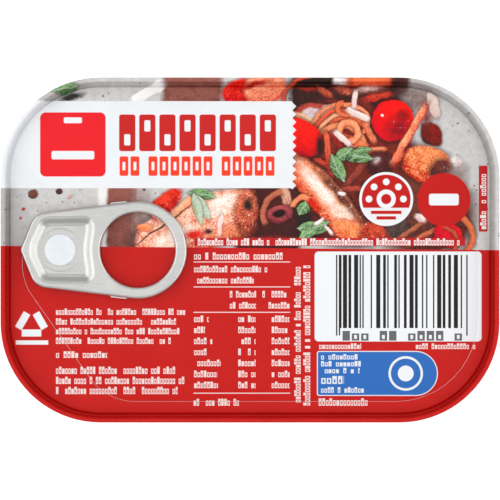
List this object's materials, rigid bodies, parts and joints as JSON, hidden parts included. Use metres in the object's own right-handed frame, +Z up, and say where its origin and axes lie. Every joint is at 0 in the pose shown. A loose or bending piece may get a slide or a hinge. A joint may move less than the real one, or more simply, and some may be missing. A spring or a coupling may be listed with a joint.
{
  "type": "sardine tin",
  "caption": "Shallow oblong fish tin with rounded corners, a seamed printed lid and a flat ring-pull tab, shut and full.",
  "frame": {"origin": "centre of the underside, on the plane that the tin stands on", "axes": "+X along the tin's length with the tab at -X, +Y across its width towards the printed picture, +Z up"},
  "size_m": [0.107, 0.074, 0.022],
  "materials": {
    "body_aluminium": "drawn, lacquered, satin",
    "printed_end": "printed and varnished, semi-gloss",
    "tab_aluminium": "plain, satin"
  },
  "bodies": {
    "root": {"can_body": "body_aluminium", "can_end": "printed_end", "pull_tab": "tab_aluminium"}
  },
  "joints": []
}
